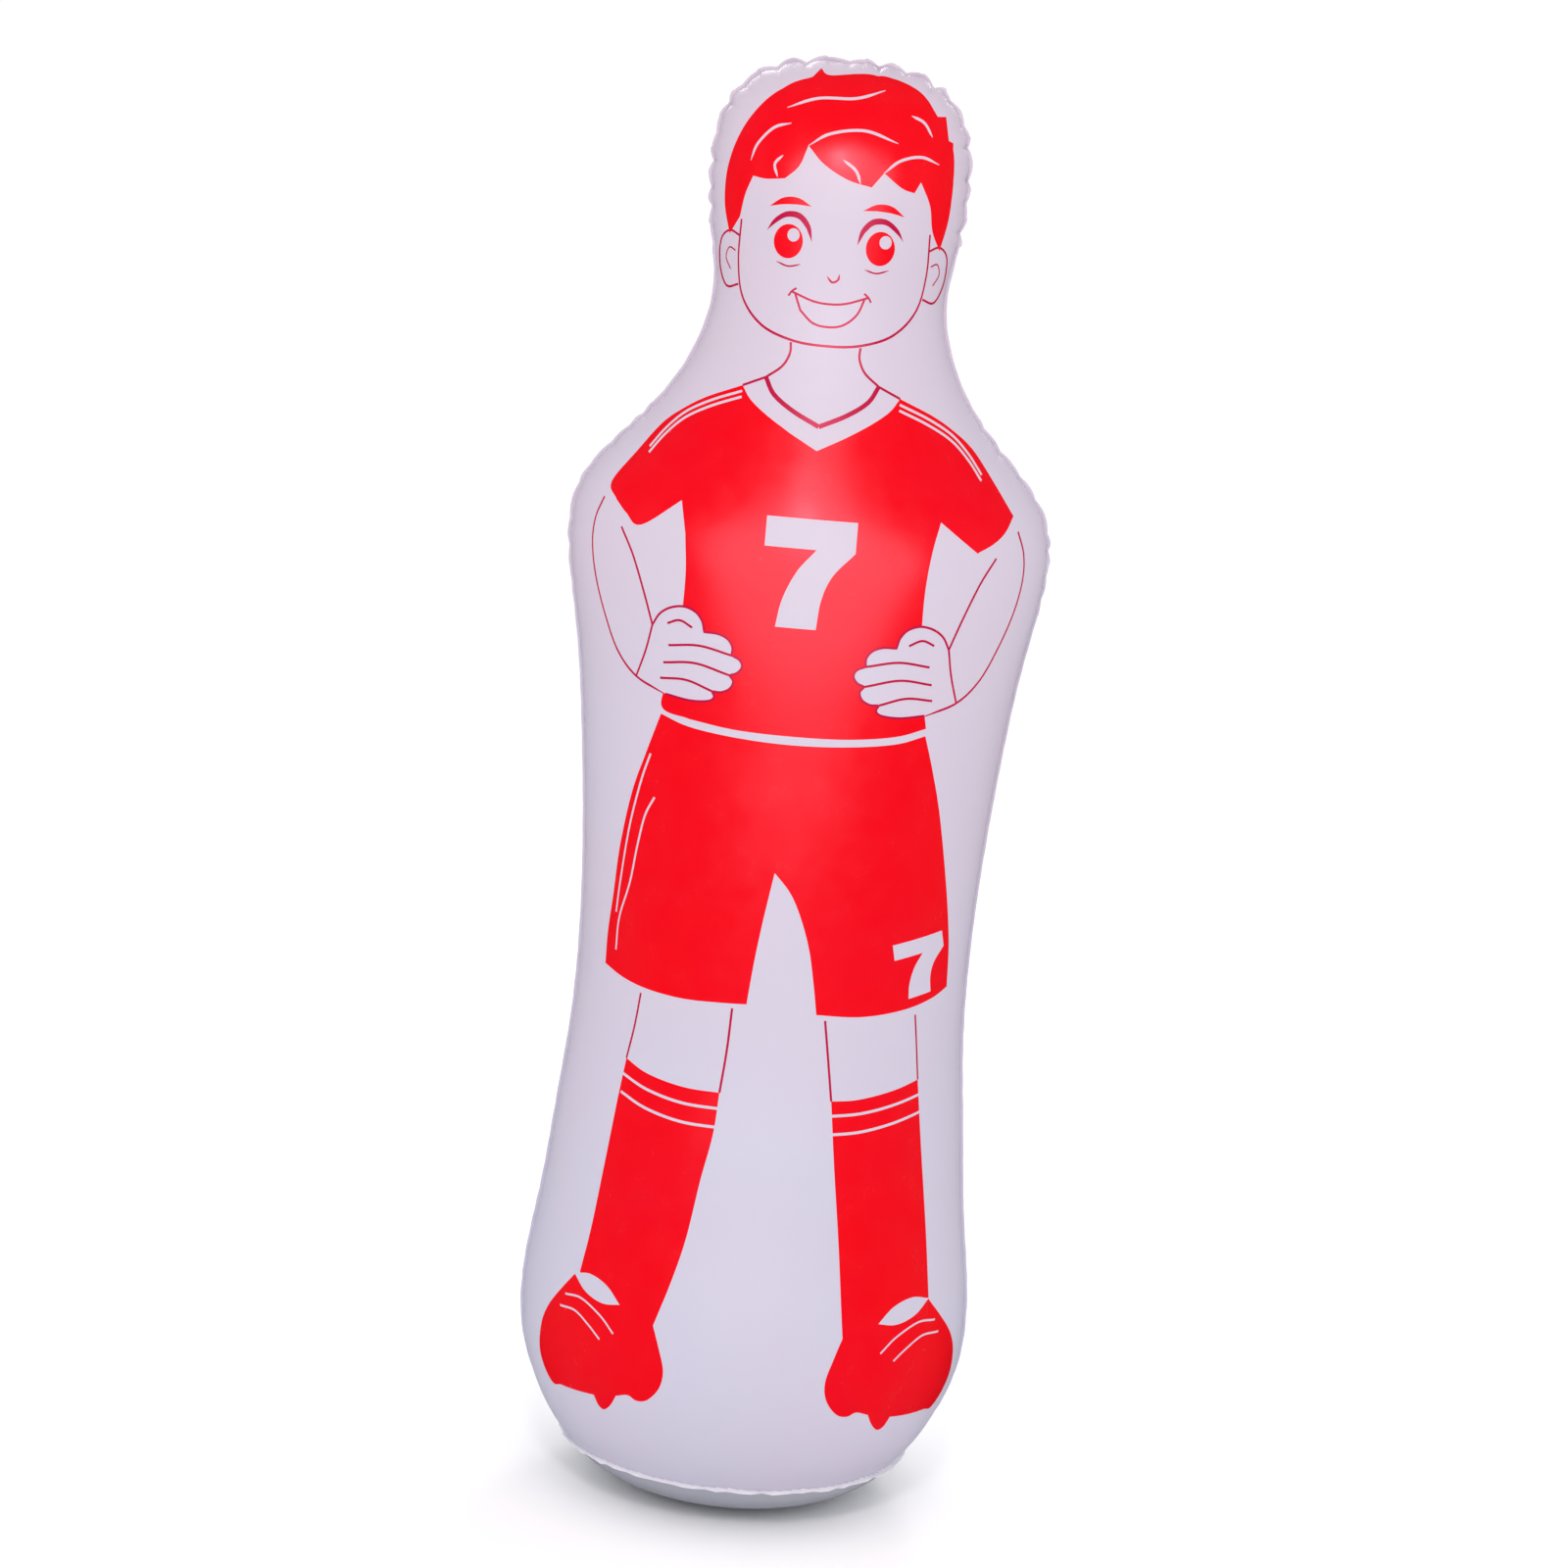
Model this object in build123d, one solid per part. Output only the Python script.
"""Inflatable football training dummy: a welded PVC air body on a rounded, water-weighted base.

Frame: +Z up, the origin on the floor under the middle of the base, the printed front towards -Y.
The front and back panels meet in a flat weld edge in the plane y = 0. All sizes are in millimetres.
"""
import math
import os

from build123d import *

os.makedirs("parts", exist_ok=True)

# Driving dimensions of the air body
HEIGHT = 1600.0
SHEET = 0.5  # thickness of every PVC sheet
WELD = 6.0  # width of the flat weld edge round the panels

# Base: a flat patch to stand on, then a shallow bowl up to the base seam
FLOOR_RADIUS = 80.0
SEAM_RADIUS = 193.0
SEAM_HEIGHT = 52.0
BOWL = (
    (103.0, 3.0),
    (130.0, 9.0),
    (152.0, 18.0),
    (169.0, 29.0),
    (183.0, 41.0),
)

# Body: height, half width and half depth of each oval section above the base seam
BODY_FOOT = SEAM_HEIGHT + SHEET
BODY = (
    (66.0, 205.5, 205.5),
    (85.0, 218.0, 218.0),
    (115.0, 233.0, 233.0),
    (155.0, 245.5, 245.5),
    (205.0, 250.0, 250.0),
    (260.0, 246.0, 246.0),
    (330.0, 236.0, 235.0),
    (420.0, 227.0, 226.0),
    (520.0, 217.5, 215.0),
    (620.0, 215.0, 210.0),
    (740.0, 220.0, 207.0),
    (860.0, 230.5, 204.0),
    (960.0, 243.5, 200.0),
    (1030.0, 256.5, 194.0),
    (1085.0, 261.0, 186.0),
    (1120.0, 254.0, 176.0),
    (1160.0, 227.0, 162.0),
    (1200.0, 189.5, 147.0),
    (1250.0, 152.5, 130.0),
    (1300.0, 131.0, 119.0),
    (1350.0, 123.0, 114.0),
    (1400.0, 130.0, 116.0),
    (1450.0, 136.0, 118.0),
    (1500.0, 136.0, 112.0),
    (1540.0, 126.0, 94.0),
    (1560.0, 112.0, 76.0),
    (1575.0, 94.0, 57.0),
    (1586.0, 69.0, 36.0),
    (1592.0, 40.0, 18.0),
    (HEIGHT - WELD, 14.0, 6.0),
)
# Outer edge of the weld over the head, half width and height
CROWN_EDGE = ((117.0, 1564.0), (98.0, 1580.0), (72.0, 1591.5), (41.0, 1597.8))
CROWN_START = 1540.0

# Water chamber
DOME_RADIUS = 190.0
DOME_RISE = 70.0
WATER_GAP = 0.3

# Screw valves. Radii, and heights along the valve axis from the rim of the neck, outwards positive.
BORE_R = 19.0
NECK_R = 22.0
NECK_DEPTH = 20.0
SHANK_R = 18.7
SHANK_DEPTH = 16.0
HEAD_R = 25.0
HEAD_FOOT = 3.2
HEAD_TOP = 6.5
COLLAR_R = 22.5
COLLAR_FOOT = 1.2
GRIPS = 16
GRIP_R = 2.0
RING_R = 25.5
RING_BORE_R = 22.8
RING_LOW = 1.4
RING_HIGH = 3.0
GASKET_LOW = 0.15
FLANGE = 1.5
STRAP_WIDTH = 7.0

# Air valve, on the lower back, in a flat round seat pressed into the back panel
AIR_HEIGHT = 330.0
AIR_SEAT_Y = 232.5
AIR_LEAN = 7.1  # degrees that the seat faces upwards
AIR_NECK = 7.0  # how far the neck stands out of the seat
AIR_FLANGE_R = 33.0
PATCH_R = 36.0
SEAT_R = 37.0
INLET_R = 9.0
CHAMBER_R = 15.0
CHAMBER_TOP = -4.0
FLAP_R = 12.0
FLAP_STEM_R = 1.5
CAP_R = 13.0
CAP_FOOT = 6.8
CAP_TOP = 9.3
SPIGOT_R = 8.6
SPIGOT_DEPTH = 3.5
LUG_V = 16.5  # distance of the cap's hinge pin from the valve axis
LUG_W = 8.6  # height of the cap's hinge pin
LUG_R = 1.7
PIN_R = 1.0
PIN_CLEARANCE = 0.06

# Water port, in a cup in the middle of the floor patch
CUP_R = 30.0
CUP_WALL = 1.5
CUP_DEPTH = 10.0
CUP_FLANGE_R = 42.0


def save(shape, node, label=None):
    """Write one piece, under its own name."""
    shape.label = label or node
    export_step(shape, f"parts/{node}.step")


def disc(radius, low, high, x=0.0, y=0.0):
    """A cylinder along Z between two heights."""
    return Pos(x, y, (low + high) / 2) * Cylinder(radius, high - low)


def ring(inner, outer, low, high):
    """A flat ring along Z between two heights."""
    return disc(outer, low, high) - disc(inner, low - 1, high + 1)


def block(x0, x1, y0, y1, z0, z1):
    """A box from its two corners."""
    centre = Pos((x0 + x1) / 2, (y0 + y1) / 2, (z0 + z1) / 2)
    return centre * Box(x1 - x0, y1 - y0, z1 - z0)


def turned(points):
    """A solid of revolution about Z from a closed outline of radius and height."""
    outline = Polyline(*[(r, 0, z) for r, z in points], close=True)
    return revolve(make_face(outline), Axis.Z)


# ---------------------------------------------------------------- body panels


def half_section(z, half_width, half_depth, side):
    """Half of one oval section: side -1 is the front half, +1 the back half."""
    start = 180 if side < 0 else 0
    arc = EllipticalCenterArc((0, 0), half_width, half_depth, start_angle=start, arc_size=180)
    return Pos(0, 0, z) * Face(Wire([arc, Line(arc @ 1, arc @ 0)]))


def half_body(inset, side):
    """The filled half body, smaller all round by the inset and, when inset, open at its foot and top."""
    foot = SEAM_RADIUS + SHEET
    stations = [(BODY_FOOT, foot, foot), *BODY]
    if inset:
        stations[-1] = (stations[-1][0] - inset, *stations[-1][1:])
        stations.insert(0, (BODY_FOOT - 2, foot - 2, foot - 2))
    return loft([half_section(z, a - inset, b - inset, side) for z, a, b in stations])


def weld_plate(side):
    """The flat sheet in the plane of the side seam, out to the outer edge of the weld."""
    right = [(SEAM_RADIUS + SHEET + WELD, BODY_FOOT)]
    right += [(a + WELD, z) for z, a, _ in BODY if z <= CROWN_START]
    right += CROWN_EDGE
    left = [(-x, z) for x, z in reversed(right)]
    edge = Spline(*[(x, 0, z) for x, z in [*right, (0, HEIGHT), *left]])
    face = make_face([edge, Line(edge @ 1, edge @ 0)])
    return extrude(face, amount=SHEET, dir=(0, side, 0))


def foot_flange(side):
    """The half ring that lies on the base seam."""
    whole = ring(SEAM_RADIUS, SEAM_RADIUS + WELD, BODY_FOOT, BODY_FOOT + SHEET)
    reach = 2 * SEAM_RADIUS
    low, high = (-reach, 0) if side < 0 else (0, reach)
    return whole & block(-reach, reach, low, high, 0, 2 * BODY_FOOT)


def air_frame():
    """The air valve's frame: Z out of the back panel, Y up along it."""
    lean = math.radians(AIR_LEAN)
    out = Vector(0, math.cos(lean), math.sin(lean))
    seat = Vector(0, AIR_SEAT_Y, AIR_HEIGHT)
    return Plane(origin=seat + out * AIR_NECK, x_dir=(-1, 0, 0), z_dir=out)


def seat_recess(inset):
    """The round flat recess for the air valve, or the same grown inwards by the sheet's thickness."""
    return air_frame().location * disc(SEAT_R + inset, -AIR_NECK - inset, 0)


def body_panel(side):
    """One half of the air body, as a thin sheet with its weld edges."""
    outer = half_body(0, side)
    inner = half_body(SHEET, side)
    if side > 0:
        outer -= seat_recess(0)
        inner -= seat_recess(SHEET)
    panel = outer + weld_plate(side) + foot_flange(side) - inner
    if side > 0:
        panel -= air_frame().location * disc(NECK_R, -NECK_DEPTH, 0)
    return panel


# ---------------------------------------------------------------- base and water chamber


def bowl_solid(inset):
    """The filled bowl below the base seam, smaller all round by the inset."""
    points = [(FLOOR_RADIUS, 0.0), *BOWL, (SEAM_RADIUS, SEAM_HEIGHT)]
    inner = [(FLOOR_RADIUS, inset)]
    for before, here, after in zip(points, points[1:], [*points[2:], points[-1]]):
        dr = after[0] - before[0]
        dz = after[1] - before[1]
        length = math.hypot(dr, dz)
        inner.append((here[0] - inset * dz / length, here[1] + inset * dr / length))
    rim = inner[-1][0]
    inner[-1] = (rim, SEAM_HEIGHT)
    wall = Spline(*[(r, 0, z) for r, z in inner], tangents=[(1, 0, 0), (0.7, 0, 0.72)])
    floor = Line((0, 0, inset), wall @ 0)
    lid = Line(wall @ 1, (0, 0, SEAM_HEIGHT))
    axis = Line((0, 0, SEAM_HEIGHT), (0, 0, inset))
    return revolve(make_face([floor, wall, lid, axis]), Axis.Z)


def base_panel():
    """The bowl under the dummy, with the hole for the water port's cup."""
    shell = bowl_solid(0) - bowl_solid(SHEET)
    lip = ring(SEAM_RADIUS - SHEET, SEAM_RADIUS + WELD, SEAM_HEIGHT - SHEET, SEAM_HEIGHT)
    return shell + lip - disc(CUP_R, -1, 2)


def dome_solid(inset):
    """The filled dome over the water, smaller all round by the inset."""
    big = (DOME_RADIUS**2 + DOME_RISE**2) / (2 * DOME_RISE)
    centre = SEAM_HEIGHT + SHEET + DOME_RISE - big
    ball = Pos(0, 0, centre) * Sphere(big - inset)
    return ball & disc(DOME_RADIUS + 1, SEAM_HEIGHT, SEAM_HEIGHT + DOME_RISE + 5)


def water_diaphragm():
    """The inner sheet that closes the water chamber, welded into the base seam."""
    brim = ring(DOME_RADIUS - 2, SEAM_RADIUS + WELD, SEAM_HEIGHT, SEAM_HEIGHT + SHEET)
    return dome_solid(0) + brim - dome_solid(SHEET) - disc(DOME_RADIUS - 2, SEAM_HEIGHT, SEAM_HEIGHT + SHEET)


def water_ballast():
    """The water that fills the chamber round the port's neck."""
    water = bowl_solid(SHEET + WATER_GAP) + dome_solid(SHEET + WATER_GAP)
    cup = disc(CUP_R + CUP_WALL + WATER_GAP, 0, CUP_DEPTH + CUP_WALL + WATER_GAP)
    flange = disc(CUP_FLANGE_R + WATER_GAP, 0, SHEET + FLANGE + WATER_GAP)
    neck = disc(NECK_R + WATER_GAP, 0, CUP_DEPTH + NECK_DEPTH + WATER_GAP)
    return water - cup - flange - neck


# ---------------------------------------------------------------- screw valve pieces


def neck_tube():
    """The valve neck with its plain thread bore."""
    return ring(BORE_R, NECK_R, -NECK_DEPTH, 0)


def grip_notches():
    """Thumb grips round the head of a plug."""
    notches = [
        Rot(0, 0, 360 * i / GRIPS) * disc(GRIP_R, HEAD_FOOT, HEAD_TOP + 1, x=HEAD_R + 1.0)
        for i in range(GRIPS)
    ]
    return Part() + notches


def gasket():
    """The flat rubber ring under the head of a plug."""
    return ring(BORE_R + 0.2, NECK_R - 0.1, GASKET_LOW, COLLAR_FOOT)


def leash_ring(tab_end):
    """The loose ring under a plug's head, with its tab."""
    half = STRAP_WIDTH / 2
    tab = block(RING_R - 1, tab_end, -half, half, RING_LOW, RING_HIGH)
    return disc(RING_R, RING_LOW, RING_HIGH) + tab - disc(RING_BORE_R, 0, HEAD_FOOT)


def air_valve_base():
    """The welded flange inside the back panel and the neck that stands out through it."""
    low = -AIR_NECK - SHEET - FLANGE
    return neck_tube() + ring(BORE_R, AIR_FLANGE_R, low, low + FLANGE)


def air_valve_patch():
    """The reinforcing ring welded on the outside of the panel."""
    return ring(NECK_R + 0.1, PATCH_R, -AIR_NECK, -AIR_NECK + SHEET)


def air_valve_plug():
    """The large plug: it screws into the neck and carries the inlet, the flap's guide and the cap's ears."""
    body = turned(
        [
            (INLET_R, HEAD_TOP),
            (HEAD_R, HEAD_TOP),
            (HEAD_R, HEAD_FOOT),
            (COLLAR_R, HEAD_FOOT),
            (COLLAR_R, COLLAR_FOOT),
            (SHANK_R, COLLAR_FOOT),
            (SHANK_R, -SHANK_DEPTH),
            (CHAMBER_R, -SHANK_DEPTH),
            (CHAMBER_R, CHAMBER_TOP),
            (INLET_R, CHAMBER_TOP),
        ]
    )
    body -= grip_notches()
    bridge_low = -SHANK_DEPTH
    bridge_high = bridge_low + 2.5
    bridge = block(-CHAMBER_R - 1, CHAMBER_R + 1, -2.5, 2.5, bridge_low, bridge_high)
    bridge += disc(4.0, bridge_low, bridge_high)
    body += bridge - disc(FLAP_STEM_R + 0.3, bridge_low - 1, bridge_high + 1)
    ears = block(-6.0, -3.4, LUG_V - LUG_R, LUG_V + LUG_R, HEAD_TOP - 0.5, LUG_W)
    ears += Pos(-4.7, LUG_V, LUG_W) * Rot(0, 90, 0) * Cylinder(LUG_R, 2.6)
    ears += mirror(ears, Plane.YZ)
    pin = Pos(0, LUG_V, LUG_W) * Rot(0, 90, 0) * Cylinder(PIN_R, 12)
    return body + ears + pin


def air_check_flap():
    """The soft disc that closes the inlet from inside, on its guide stem."""
    face = disc(FLAP_R, CHAMBER_TOP - 1.1, CHAMBER_TOP - 0.1)
    return face + disc(FLAP_STEM_R, -SHANK_DEPTH - 1.0, CHAMBER_TOP - 1.0)


def air_valve_cap():
    """The dust cap: a disc with a short spigot, a hinge knuckle and a lifting tab."""
    cap = disc(CAP_R, CAP_FOOT, CAP_TOP)
    cap = fillet(cap.edges().group_by(Axis.Z)[-1], 0.8)
    cap += ring(SPIGOT_R - 1.5, SPIGOT_R, CAP_FOOT - SPIGOT_DEPTH, CAP_FOOT + 0.5)
    cap += block(-3.0, 3.0, CAP_R - 2, LUG_V, CAP_FOOT + 0.2, CAP_TOP)
    cap += Pos(0, LUG_V, LUG_W) * Rot(0, 90, 0) * Cylinder(LUG_R, 6.0)
    tab = block(-4.0, 4.0, -CAP_R - 5, -CAP_R + 2, CAP_FOOT, CAP_FOOT + 1.4)
    cap += fillet(tab.edges().filter_by(Axis.Z).group_by(Axis.Y)[0], 2.5)
    bore = Pos(0, LUG_V, LUG_W) * Rot(0, 90, 0) * Cylinder(PIN_R + PIN_CLEARANCE, 20)
    return cap - bore


def air_leash_strap():
    """The ring round the neck, its strap and the fold back towards the plug's ring."""
    low = -AIR_NECK + SHEET + 1.3
    high = low + RING_HIGH - RING_LOW
    half = STRAP_WIDTH / 2
    fold_x = 38.0
    lower = ring(NECK_R + 0.05, RING_R, low, high)
    lower += block(RING_R - 1, fold_x, -half, half, low, high)
    middle = (low + RING_HIGH) / 2
    outside = (RING_HIGH - low) / 2
    inside = outside - (RING_HIGH - RING_LOW)
    fold = Pos(fold_x, 0, middle) * Rot(90, 0, 0) * Cylinder(outside, STRAP_WIDTH)
    fold -= Pos(fold_x, 0, middle) * Rot(90, 0, 0) * Cylinder(inside, STRAP_WIDTH + 2)
    fold &= block(fold_x, fold_x + 10, -half, half, low - 1, RING_HIGH + 1)
    return lower + fold


def water_port_base():
    """The cup sunk into the floor patch, its welded flange and the neck inside it."""
    rim = CUP_DEPTH - SHEET
    cup = ring(CUP_R, CUP_R + CUP_WALL, -CUP_WALL, rim)
    floor = ring(BORE_R, CUP_R + CUP_WALL, -CUP_WALL, 0)
    flange = ring(CUP_R, CUP_FLANGE_R, rim - FLANGE, rim)
    return neck_tube() + floor + cup + flange


def water_plug():
    """The solid screw plug of the water port, with a grip bar."""
    body = turned(
        [
            (0, HEAD_TOP),
            (HEAD_R, HEAD_TOP),
            (HEAD_R, HEAD_FOOT),
            (COLLAR_R, HEAD_FOOT),
            (COLLAR_R, COLLAR_FOOT),
            (SHANK_R, COLLAR_FOOT),
            (SHANK_R, -SHANK_DEPTH),
            (CHAMBER_R, -SHANK_DEPTH),
            (CHAMBER_R, 0),
            (0, 0),
        ]
    )
    bar = block(-17, 17, -2.5, 2.5, HEAD_TOP - 0.5, HEAD_TOP + 2.0)
    return body - grip_notches() + bar


def water_leash_strap():
    """The strap that lies round the plug in the cup, with its foot on the cup's floor."""
    band = ring(RING_R + 1.1, CUP_R - 0.8, RING_LOW, RING_HIGH)
    band &= block(-CUP_R, CUP_R, 5.0, CUP_R, RING_LOW, RING_HIGH)
    foot = block(-CUP_R + 1.8, -RING_R - 1.1, 5.0, 9.0, 0, RING_LOW)
    return band + foot


def main():
    save(body_panel(-1), "front_panel")
    save(body_panel(1), "back_panel")
    save(base_panel(), "base_panel")
    save(water_diaphragm(), "water_diaphragm")
    save(water_ballast(), "water_ballast")

    air = air_frame().location
    save(air * air_valve_base(), "air_valve_base")
    save(air * air_valve_patch(), "air_valve_patch")
    save(air * air_valve_plug(), "air_valve_plug")
    save(air * gasket(), "air_plug_gasket")
    save(air * air_check_flap(), "air_check_flap")
    save(air * air_valve_cap(), "air_valve_cap")
    save(air * leash_ring(37.7), "air_leash_ring")
    save(air * air_leash_strap(), "air_leash_strap")

    water = Plane(origin=(0, 0, CUP_DEPTH), x_dir=(1, 0, 0), z_dir=(0, 0, -1)).location
    save(water * water_port_base(), "water_port_base")
    save(water * water_plug(), "water_plug")
    save(water * gasket(), "water_plug_gasket")
    save(water * leash_ring(CUP_R - 0.8), "water_leash_ring")
    save(water * water_leash_strap(), "water_leash_strap")


main()
